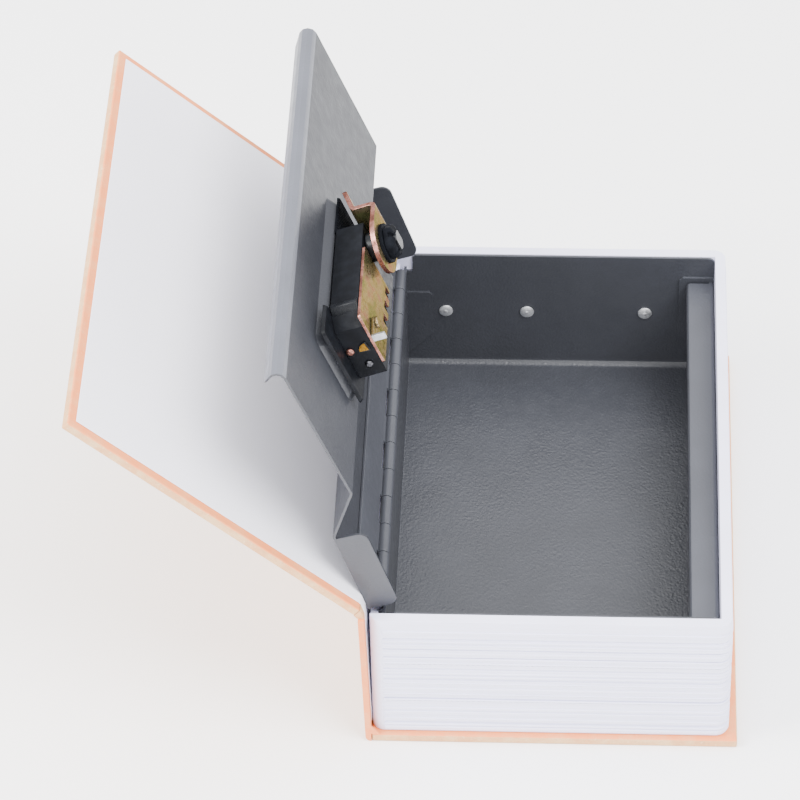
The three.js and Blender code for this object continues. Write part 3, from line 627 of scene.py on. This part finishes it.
class SAFE_OT_stage(bpy.types.Operator):
    """Floor, soft lights and the camera"""

    bl_idname = "safe.stage"
    bl_label = "Stage"

    def execute(self, context):
        work = bmesh.new()
        bmesh.ops.create_grid(work, x_segments=1, y_segments=1, size=4.0)
        mesh = bpy.data.meshes.new("floor")
        work.to_mesh(mesh)
        work.free()
        floor = bpy.data.objects.new("floor", mesh)
        bpy.context.scene.collection.objects.link(floor)
        m = Material("floor")
        tone = m.mix(m.noise(3, 2), (0.93, 0.93, 0.94), (0.95, 0.95, 0.955))
        mesh.materials.append(m.finish(Base_Color=tone, Roughness=0.8))

        world = bpy.data.worlds.new("studio")
        world.use_nodes = True
        back = world.node_tree.nodes["Background"]
        back.inputs["Color"].default_value = (1, 1, 1, 1)
        back.inputs["Strength"].default_value = SKY
        bpy.context.scene.world = world

        for name, (place, size, power) in LAMPS.items():
            self.lamp(name, place, size, power)

        data = bpy.data.cameras.new("camera")
        data.lens = CAMERA_LENS
        data.sensor_width = 36
        data.sensor_fit = "HORIZONTAL"
        data.clip_start = 0.05
        data.clip_end = 20
        camera = bpy.data.objects.new("camera", data)
        right = Vector(CAMERA_RIGHT).normalized()
        back_way = Vector(CAMERA_BACK).normalized()
        up = back_way.cross(right)
        turn = Matrix((right, up, back_way)).transposed().to_4x4()
        camera.matrix_world = Matrix.Translation(Vector(CAMERA_PLACE)) @ turn
        bpy.context.scene.collection.objects.link(camera)
        bpy.context.scene.camera = camera
        return {"FINISHED"}

    def lamp(self, name, place, size, power):
        data = bpy.data.lights.new(name, "AREA")
        data.size = size
        data.energy = power
        lamp = bpy.data.objects.new(name, data)
        lamp.location = place
        lamp.rotation_euler = (-Vector(place)).to_track_quat("-Z", "Y").to_euler()
        bpy.context.scene.collection.objects.link(lamp)


class SAFE_OT_boards(bpy.types.Operator):
    """Back board, spine board and cover in printed paper, turned in round the endpaper"""

    bl_idname = "safe.boards"
    bl_label = "Boards"

    def execute(self, context):
        width = sizes().board_round
        back = dress("back_board", "book", "cover_paper", "printed", width, "back_board_paper", 3)
        repaint(back, "turned_in", STILL, lambda n, p: n.z > FACING)
        spine = dress("spine_board", "book", "cover_paper", "printed", width, "spine_paper", 3)
        repaint(spine, "turned_in", STILL,
                lambda n, p: n.x > FACING or n.z > FACING or abs(n.y) > FACING)
        front = dress("front_board", "cover", "cover_paper", "printed", width,
                      "front_board_paper", 3)
        repaint(front, "turned_in", COVER, lambda n, p: n.z < -FACING)
        dress("front_endpaper", "cover", "endpaper", "lining", PART_EDGE["thin"],
              "endpaper_sheet", 1)
        for end, way in (("near", -1), ("far", 1)):
            low, high = sorted(way * reach for reach in TUCK_REACH)
            tuck = band(f"spine_tuck_{end}", "turned_in", TUCK_LEFT, TUCK_RIGHT, low, high)
            soften(tuck, PART_EDGE["tuck"])
            hand_over(tuck, "book", "cover_paper")
        return {"FINISHED"}


class SAFE_OT_joint(bpy.types.Operator):
    """Paper joint and white lining between the spine and the cover"""

    bl_idname = "safe.joint"
    bl_label = "Cover joint"

    def execute(self, context):
        inner = between(*JOINT_INNER, JOINT_STEPS)
        outer = between(*JOINT_OUTER, JOINT_STEPS)
        wedge = band("joint_paper", "printed", inner, outer, -JOINT_REACH, JOINT_REACH)
        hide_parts("cover_joint")
        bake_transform(wedge)

        lift = sizes().lining / MM
        line = [*between(*SPINE_FACE, SPINE_STEPS), *inner[1:], opened(*COVER_INSIDE)]
        shifts = [SPINE_WAY] * (SPINE_STEPS + 1) + [JOINT_WAY] * JOINT_STEPS + [opened_way()]
        raised = [(x + u * lift, z + w * lift) for (x, z), (u, w) in zip(line, shifts)]
        lining = band("joint_lining", "lining", line, raised, -LINING_REACH, LINING_REACH)
        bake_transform(lining)
        return {"FINISHED"}


class SAFE_OT_pages(bpy.types.Operator):
    """Moulded page block with its ridges of leaves"""

    bl_idname = "safe.pages"
    bl_label = "Page block"

    def execute(self, context):
        dress("page_frame", "book", "page_plastic", "page", PART_EDGE["rounded"], "page_block")
        (x0, y0, z0), (x1, y1, _) = PAGE_BOX["low"], PAGE_BOX["high"]
        x0 += PAGE_BOX["margin"]
        route = [(x0, y0, z0), (x1, y0, z0), (x1, y1, z0), (x0, y1, z0)]
        shares = [0.0] * len(route) + [1.0] * len(LEAF_RISES) + [THIN_SHARE] * len(THIN_RISES)
        rises = [(0, 0, rise) for rise in (*LEAF_RISES, *THIN_RISES)]
        base = points_mesh("leaf_route", [*route, *rises], [(0, 1), (1, 2), (2, 3)], ridge=shares)
        book = sizes()
        g = Shape("leaf_ridges", Corner=PAGE_BOX["corner"] * MM, Proud=book.leaf_proud,
                  Thick=book.leaf_thick, Drift=book.leaf_drift, Seed=book.leaf_seed)
        loop = g.add("GeometryNodeMeshToCurve", {"Mesh": g.given["Geometry"]})
        loop = g.add("GeometryNodeFilletCurve",
                     {"Curve": loop, "Radius": g.given["Corner"], "Count": 8, "Limit Radius": True},
                     mode="POLY")
        loop = g.add("GeometryNodeSetCurveNormal", {"Curve": loop}, mode="Z_UP")
        wide = g.maths("MULTIPLY", g.given["Proud"], 2.0)
        section = g.add("GeometryNodeCurvePrimitiveQuadrilateral",
                        {"Width": wide, "Height": g.given["Thick"]})
        section = g.add("GeometryNodeFilletCurve",
                        {"Curve": section, "Radius": g.maths("MULTIPLY", wide, 0.4), "Count": 2,
                         "Limit Radius": True}, mode="POLY")
        ridge = g.add("GeometryNodeCurveToMesh",
                      {"Curve": loop, "Profile Curve": section, "Fill Caps": True})
        risen = g.over("ridge", THIN_SHARE / 2)
        spots = g.add("GeometryNodeMeshToPoints", {"Mesh": g.given["Geometry"], "Selection": risen})
        drift = g.add("FunctionNodeRandomValue", {2: -1.0, 3: 1.0, "Seed": g.given["Seed"]}, 1)
        shift = g.vector(z=g.maths("MULTIPLY", drift, g.given["Drift"]))
        spots = g.add("GeometryNodeSetPosition", {"Geometry": spots, "Offset": shift})
        swell = g.add("FunctionNodeRandomValue",
                      {2: 0.7, 3: 1.2, "Seed": g.maths("ADD", g.given["Seed"], 3)}, 1)
        swell = g.maths("MULTIPLY", swell, g.attribute("ridge"))
        rows = g.add("GeometryNodeInstanceOnPoints",
                     {"Points": spots, "Instance": ridge, "Scale": g.vector(1.0, 1.0, swell)})
        leaves = crisp(g.grow("leaf_ridges", base, rows, "page"), 50)
        hand_over(leaves, "book", "page_plastic")
        return {"FINISHED"}


class SAFE_OT_steel_box(bpy.types.Operator):
    """Folded steel box with its rivets"""

    bl_idname = "safe.steel_box"
    bl_label = "Steel box"

    def execute(self, context):
        width = metal().sheet_round
        shell = dress("steel_box", "book", "grey_coat", "box_coat", width, "box_shell")
        # faces along the box's length get the darker coat, painted shade
        repaint(shell, "wall_coat_painted_shade", STILL, lambda n, p: abs(n.y) > FACING)
        # the shelf's upward faces get the lighter coat, painted light
        repaint(shell, "shelf_coat_painted_light", STILL,
                lambda n, p: n.z > FACING and p.x > LIT_SHELF_FROM[0] and p.z > LIT_SHELF_FROM[1])

        spots = [(x, side) for side in (-1, 1) for x in RIVET_ROW]
        places = [(x, side * RIVET_FOOT, RIVET_LEVEL) for x, side in spots]
        ways = [(0.0, float(-side), 0.0) for _, side in spots]
        g = Shape("rivets", Radius=metal().rivet_radius, Head=2.2 * MM, Rim=0.3 * MM,
                  Crown=0.3 * MM)
        head, rim, crown, radius = (g.given[k] for k in ("Head", "Rim", "Crown", "Radius"))

        def cone(low, high, tall, rise):
            part = g.add("GeometryNodeMeshCone", {
                "Vertices": 32, "Radius Bottom": g.maths("MULTIPLY", radius, low),
                "Radius Top": g.maths("MULTIPLY", radius, high), "Depth": tall})
            return g.add("GeometryNodeTransform",
                         {"Geometry": part, "Translation": g.vector(z=rise)})

        top = g.maths("ADD", head, rim)
        parts = [cone(0.6, 0.6, head, 0.0), cone(1.0, 0.97, rim, head),
                 cone(0.97, 0.72, crown, top),
                 cone(0.3, 0.22, 0.12 * MM, g.maths("ADD", top, crown))]
        way = g.attribute("way", "FLOAT_VECTOR")
        turn = g.add("FunctionNodeAlignRotationToVector", {"Vector": way}, axis="Z")
        row = g.add("GeometryNodeInstanceOnPoints", {
            "Points": g.given["Geometry"], "Instance": g.join(*parts), "Rotation": turn})
        base = points_mesh("rivet_spots", places, way=ways)
        rivets = crisp(g.grow("box_rivets", base, row, "rivet"), 40)
        hand_over(rivets, "book", "rivet_aluminium",
                  *(f"rivet_{end}_{i}" for end in ("head", "tail") for i in (1, 2, 3)))
        return {"FINISHED"}


class SAFE_OT_hinge(bpy.types.Operator):
    """Both leaves of the long hinge, knuckle by knuckle, and its pin"""

    bl_idname = "safe.hinge"
    bl_label = "Hinge"

    def execute(self, context):
        pin = Matrix.Translation(PIN_PLACE * MM)
        self.leaf("hinge_box_leaf", "book", 1, pin, (0.1, -16.0), (0.9, 0.0), "up")
        self.leaf("hinge_lid_leaf", "lid", 0, LID, (0.0, 1.03), (17.6, 1.83), "out")
        dress("hinge_pin", "book", "bright_steel", "dull", PART_EDGE["small"])
        return {"FINISHED"}

    def leaf(self, node, body, first, matrix, low, high, way):
        """A strip, and for each own knuckle a barrel and the tab that carries it."""
        places, scales, round_ones = [], [], []

        def part(x0, x1, y0, y1, z0, z1, round_one=0.0):
            places.append(((x0 + x1) / 2, (y0 + y1) / 2, (z0 + z1) / 2))
            scales.append((x1 - x0, y1 - y0, z1 - z0))
            round_ones.append(round_one)

        far, near = KNUCKLE_EDGES[0], KNUCKLE_EDGES[-1]
        cut = TAB_ROOT[way]
        if way == "up":
            part(low[0], high[0], near, far, low[1], cut)
        else:
            part(cut, high[0], near, far, low[1], high[1])
        half_gap = KNUCKLE["gap"] / 2
        for i, (top, bottom) in enumerate(zip(KNUCKLE_EDGES, KNUCKLE_EDGES[1:])):
            if i % 2 != first:
                continue
            y0, y1 = bottom + half_gap, top - half_gap
            part(0.0, 0.0, y0, y1, 0.0, 0.0, 1.0)
            if way == "up":
                part(low[0], high[0], y0, y1, cut - TAB_LAP, -TAB_TIP)
            else:
                part(TAB_TIP, cut + TAB_LAP, y0, y1, low[1], high[1])

        outer, bore = KNUCKLE["outer"] * MM, KNUCKLE["bore"] * MM
        g = Shape(f"{node}_parts", Outer=outer, Bore=bore, Sides=metal().knuckle_sides)
        wall = g.maths("SUBTRACT", g.given["Outer"], g.given["Bore"])
        middle = g.maths("MULTIPLY", g.maths("ADD", g.given["Outer"], g.given["Bore"]), 0.5)
        ring = g.add("GeometryNodeCurvePrimitiveCircle",
                     {"Resolution": g.given["Sides"], "Radius": middle})
        section = g.add("GeometryNodeCurvePrimitiveQuadrilateral",
                        {"Width": wall, "Height": 1.0 * MM})
        barrel = g.add("GeometryNodeCurveToMesh", {"Curve": ring, "Profile Curve": section})
        cube = g.add("GeometryNodeMeshCube", {"Size": (MM, MM, MM)})
        size = g.attribute("size", "FLOAT_VECTOR")
        is_round = g.over("barrel", 0.5)
        is_flat = g.add("FunctionNodeBooleanMath", {0: is_round}, operation="NOT")
        span = g.add("ShaderNodeSeparateXYZ", {0: size}, 1)
        barrels = g.add("GeometryNodeInstanceOnPoints", {
            "Points": g.given["Geometry"], "Selection": is_round, "Instance": barrel,
            "Rotation": (math.pi / 2, 0, 0), "Scale": g.vector(1.0, 1.0, span)})
        plates = g.add("GeometryNodeInstanceOnPoints", {
            "Points": g.given["Geometry"], "Selection": is_flat, "Instance": cube, "Scale": size})
        base = points_mesh(f"{node}_spots", places, size=scales, barrel=round_ones)
        # the leaves and knuckles get the lighter coat, painted light
        leaf = g.grow(f"{node}_plate", base, g.join(barrels, plates), "hinge_coat_painted_light")
        leaf.data.transform(matrix)
        soften(leaf, PART_EDGE["medium"], 2, 40)
        hand_over(leaf, body, "grey_coat", node)


class SAFE_OT_lid(bpy.types.Operator):
    """Folded steel lid"""

    bl_idname = "safe.lid"
    bl_label = "Lid"

    def execute(self, context):
        # the lid's coat is darkened, painted shade
        shell = dress("lid_panel", "lid", "grey_coat", "lid_coat_painted_shade", metal().sheet_round, "lid_shell")
        # the ears, facing along the hinge, get the lighter coat, painted light
        repaint(shell, "ear_coat_painted_light", LID, lambda n, p: abs(n.y) > FACING)
        # the lip's outward faces get the much lighter coat, painted light
        repaint(shell, "lip_coat_painted_light", LID, lambda n, p: n.x > 0.3 and p.x > LIT_LIP_FROM)
        return {"FINISHED"}


class SAFE_OT_lock_case(bpy.types.Operator):
    """Foot, housing, plate and bezel of the lock"""

    bl_idname = "safe.lock_case"
    bl_label = "Lock case"

    def execute(self, context):
        width = metal().part_round
        dress("lock_foot", "lid", "black_plastic", "black", width)
        dress("lock_housing", "lid", "black_plastic", "black", width * 2)
        dress("lock_bezel", "lid", "black_plastic", "black", width)
        self.rib()
        self.tail()
        plate = dress("lock_plate", "lid", "yellow_zinc", "zinc", PART_EDGE["thin"])
        repaint(plate, "copper", LOCK, lambda n, p: abs(n.z) < 0.5)
        dress("lever_pivot", "lid", "bright_steel", "zinc", PART_EDGE["small"])
        lever = dress("reset_lever", "lever", "bright_steel", "lever", PART_EDGE["small"])
        repaint(lever, "zinc", LOCK, lambda n, p: p.y > LEVER_ROOT)
        back = LOCK.inverted()
        for vert in lever.data.vertices:
            spot = back @ vert.co
            if spot.y < LEVER_NECK * MM:
                spot.x = LEVER_MIDDLE * MM + (spot.x - LEVER_MIDDLE * MM) * LEVER_TAPER
                vert.co = LOCK @ spot
        dress("housing_screw_1", "lid", "bright_steel", "copper", PART_EDGE["thin"])
        dress("housing_screw_2", "lid", "bright_steel", "dull", PART_EDGE["thin"])
        self.inlay()
        return {"FINISHED"}

    def rib(self):
        """Rounded rib along the housing's side, which leans in towards its end."""
        foot, top = [], []
        steps = RIB["steps"]
        for k in range(steps + 1):
            y = RIB["start"] + RIB["length"] * k / steps
            side = RIB["side"] - max(0.0, RIB["from"] - y) * RIB["slope"]
            foot.append((side - RIB["depth"], y))
            swell = RIB["swell"] * math.sin(math.pi * k / steps) ** 0.7
            top.append((side + swell + 0.01, y))
        rib = band("housing_rib", "black_gloss", foot, top, RIB["low"], RIB["high"], "XY")
        rib.data.transform(LOCK)
        hand_over(soften(rib, PART_EDGE["small"]), "lid", "black_plastic")

    def tail(self):
        """Ribbed plate beside the housing, seen through the plateau's window."""
        ridges = []
        for k in range(TAIL["count"]):
            drop = TAIL["deep"] if k % 4 < 2 else TAIL["shallow"]
            ridges.append((TAIL["start"] + TAIL["pitch"] * k, TAIL["face"] - drop))
        tops = [(y, TAIL["top"]) for y, _ in ridges]
        tail = band("housing_tail", "soot", tops, ridges, TAIL["low"], TAIL["high"], "YZ")
        tail.data.transform(LOCK)
        hand_over(tail, "lid", "black_plastic")

    def inlay(self):
        """Brass quarter round in a dark rim on the housing's end."""
        arc = [(math.cos(a), math.sin(a)) for a in map(math.radians, INLAY_ANGLES)]
        for name, kind, radius, inset, y0, y1 in INLAYS:
            x, z = (place - inset for place in INLAY_CORNER)
            left = [(x + u * radius, z + w * radius) for u, w in arc]
            right = [(x, z)] * len(arc)
            piece = band(name, kind, left, right, y0, y1)
            work = bmesh.new()
            work.from_mesh(piece.data)
            bmesh.ops.remove_doubles(work, verts=work.verts, dist=1e-6)
            work.to_mesh(piece.data)
            work.free()
            piece.data.transform(LOCK)
            crisp(piece)
            hand_over(piece, "lid", "black_plastic" if name == "inlay_rim" else "wheel_metal")


class SAFE_OT_dials(bpy.types.Operator):
    """Dial wheels with their digits, and their spindle"""

    bl_idname = "safe.dials"
    bl_label = "Dial wheels"

    def execute(self, context):
        for i, seat in enumerate(WHEEL_SEATS, 1):
            dress(f"dial_wheel_{i}", f"wheel_{i}", "wheel_metal", "wheel", PART_EDGE["rounded"])
            self.digits(f"wheel_{i}_digits", f"wheel_{i}", seat)
        dress("wheel_spindle", "lid", "bright_steel", "steel", PART_EDGE["small"])
        return {"FINISHED"}

    def digits(self, name, body, seat):
        """Ten digits round a wheel, one on each flat."""
        work = bmesh.new()
        radius = WHEEL_RIM * math.cos(WHEEL_FLAT) + DIGIT_LIFT
        for digit in range(10):
            curve = bpy.data.curves.new("digit", "FONT")
            curve.body = str(digit)
            curve.size = metal().digit_height
            curve.align_x = "CENTER"
            curve.align_y = "CENTER"
            curve.extrude = DIGIT_DEPTH * MM
            curve.resolution_u = 2
            glyph = bpy.data.objects.new("digit", curve)
            bpy.context.scene.collection.objects.link(glyph)
            bpy.context.view_layer.update()
            mesh = bpy.data.meshes.new_from_object(glyph)
            angle = math.radians(36 * digit)
            out = Vector((math.cos(angle), 0, math.sin(angle)))
            along = Vector((0, 1, 0))
            up = out.cross(along)
            turn = Matrix((along, up, out)).transposed().to_4x4()
            place = Vector((0, seat, WHEEL_AXIS)) + out * radius
            mesh.transform(LOCK @ Matrix.Translation(place * MM) @ turn)
            work.from_mesh(mesh)
            bpy.data.objects.remove(glyph)
        joined = bpy.data.meshes.new(name)
        work.to_mesh(joined)
        work.free()
        hand_over(mesh_object(name, joined, "ink"), body, "black_plastic")


class SAFE_OT_latch(bpy.types.Operator):
    """Knob, shaft, cam, washer and nut"""

    bl_idname = "safe.latch"
    bl_label = "Latch"

    def execute(self, context):
        cam = dress("cam_latch", "lock_turn", "yellow_zinc", "zinc", PART_EDGE["medium"])
        repaint(cam, "copper", LOCK, lambda n, p: abs(n.x) > 0.5 or (abs(n.z) < 0.3 and p.y < 22)
                or (n.y > 0.6 and p.y > 38))
        dress("cam_washer", "lock_turn", "dark_steel", "soot", PART_EDGE["small"])
        self.nut()
        dress("lock_shaft", "lock_turn", "dark_steel", "blackened", PART_EDGE["small"])
        dress("turn_knob", "lock_turn", "black_plastic", "black", PART_EDGE["grip"])
        return {"FINISHED"}

    def nut(self):
        """Rounded six sided nut with a domed, castellated crown."""
        x, y, z = NUT_PLACE
        work = bmesh.new()
        rings = []
        for radius, rise in NUT_PROFILE:
            crown = rise > SLOT["above"] and radius > SLOT["outside"]
            ring = []
            for k in range(NUT_SIDES):
                angle = 2 * math.pi * k / NUT_SIDES
                slot = crown and abs(math.sin(2 * angle + SLOT["turn"])) < SLOT["half_width"]
                flat = 1 + NUT_FLAT * math.cos(6 * angle)
                reach = radius * flat * (SLOT["reach"] if slot else 1.0)
                level = z - rise + (SLOT["drop"] if slot else 0.0)
                place = Vector((x + reach * math.cos(angle), y + reach * math.sin(angle), level))
                ring.append(work.verts.new(place * MM))
            rings.append(ring)
        for a, b in zip(rings, rings[1:] + rings[:1]):
            for k in range(NUT_SIDES):
                after = (k + 1) % NUT_SIDES
                work.faces.new((a[k], a[after], b[after], b[k]))
        bmesh.ops.recalc_face_normals(work, faces=work.faces)
        mesh = bpy.data.meshes.new("cam_nut_skin")
        work.to_mesh(mesh)
        work.free()
        mesh.transform(LOCK)
        nut = crisp(mesh_object("cam_nut_skin", mesh, "soot"), 40)
        hand_over(nut, "lock_turn", "dark_steel", "cam_nut")


class SAFE_PT_panel(bpy.types.Panel):
    """Builders of the book safe"""

    bl_label = "Book Safe"
    bl_idname = "SAFE_PT_panel"
    bl_space_type = "VIEW_3D"
    bl_region_type = "UI"
    bl_category = "Book Safe"

    def draw(self, context):
        for key in GROUPS:
            group = getattr(context.scene, key)
            column = self.layout.column(align=True)
            for name in group.__annotations__:
                column.prop(group, name)
        for operator in OPERATORS:
            self.layout.operator(operator.bl_idname)


OPERATORS = (SAFE_OT_stage, SAFE_OT_boards, SAFE_OT_joint, SAFE_OT_pages, SAFE_OT_steel_box,
             SAFE_OT_hinge, SAFE_OT_lid, SAFE_OT_lock_case, SAFE_OT_dials, SAFE_OT_latch)
GROUPS = {"safe_book": BookSizes, "safe_metal": MetalSizes, "safe_colours": SafeColours}


def register():
    for kind in (*GROUPS.values(), *OPERATORS, SAFE_PT_panel):
        bpy.utils.register_class(kind)
    for name, group in GROUPS.items():
        setattr(bpy.types.Scene, name, PointerProperty(type=group))


def unregister():
    for name in GROUPS:
        delattr(bpy.types.Scene, name)
    for kind in (SAFE_PT_panel, *reversed(OPERATORS), *GROUPS.values()):
        bpy.utils.unregister_class(kind)


def main():
    register()
    for operator in OPERATORS:
        folder, name = operator.bl_idname.split(".")
        getattr(getattr(bpy.ops, folder), name)()


if __name__ == "__main__":
    main()
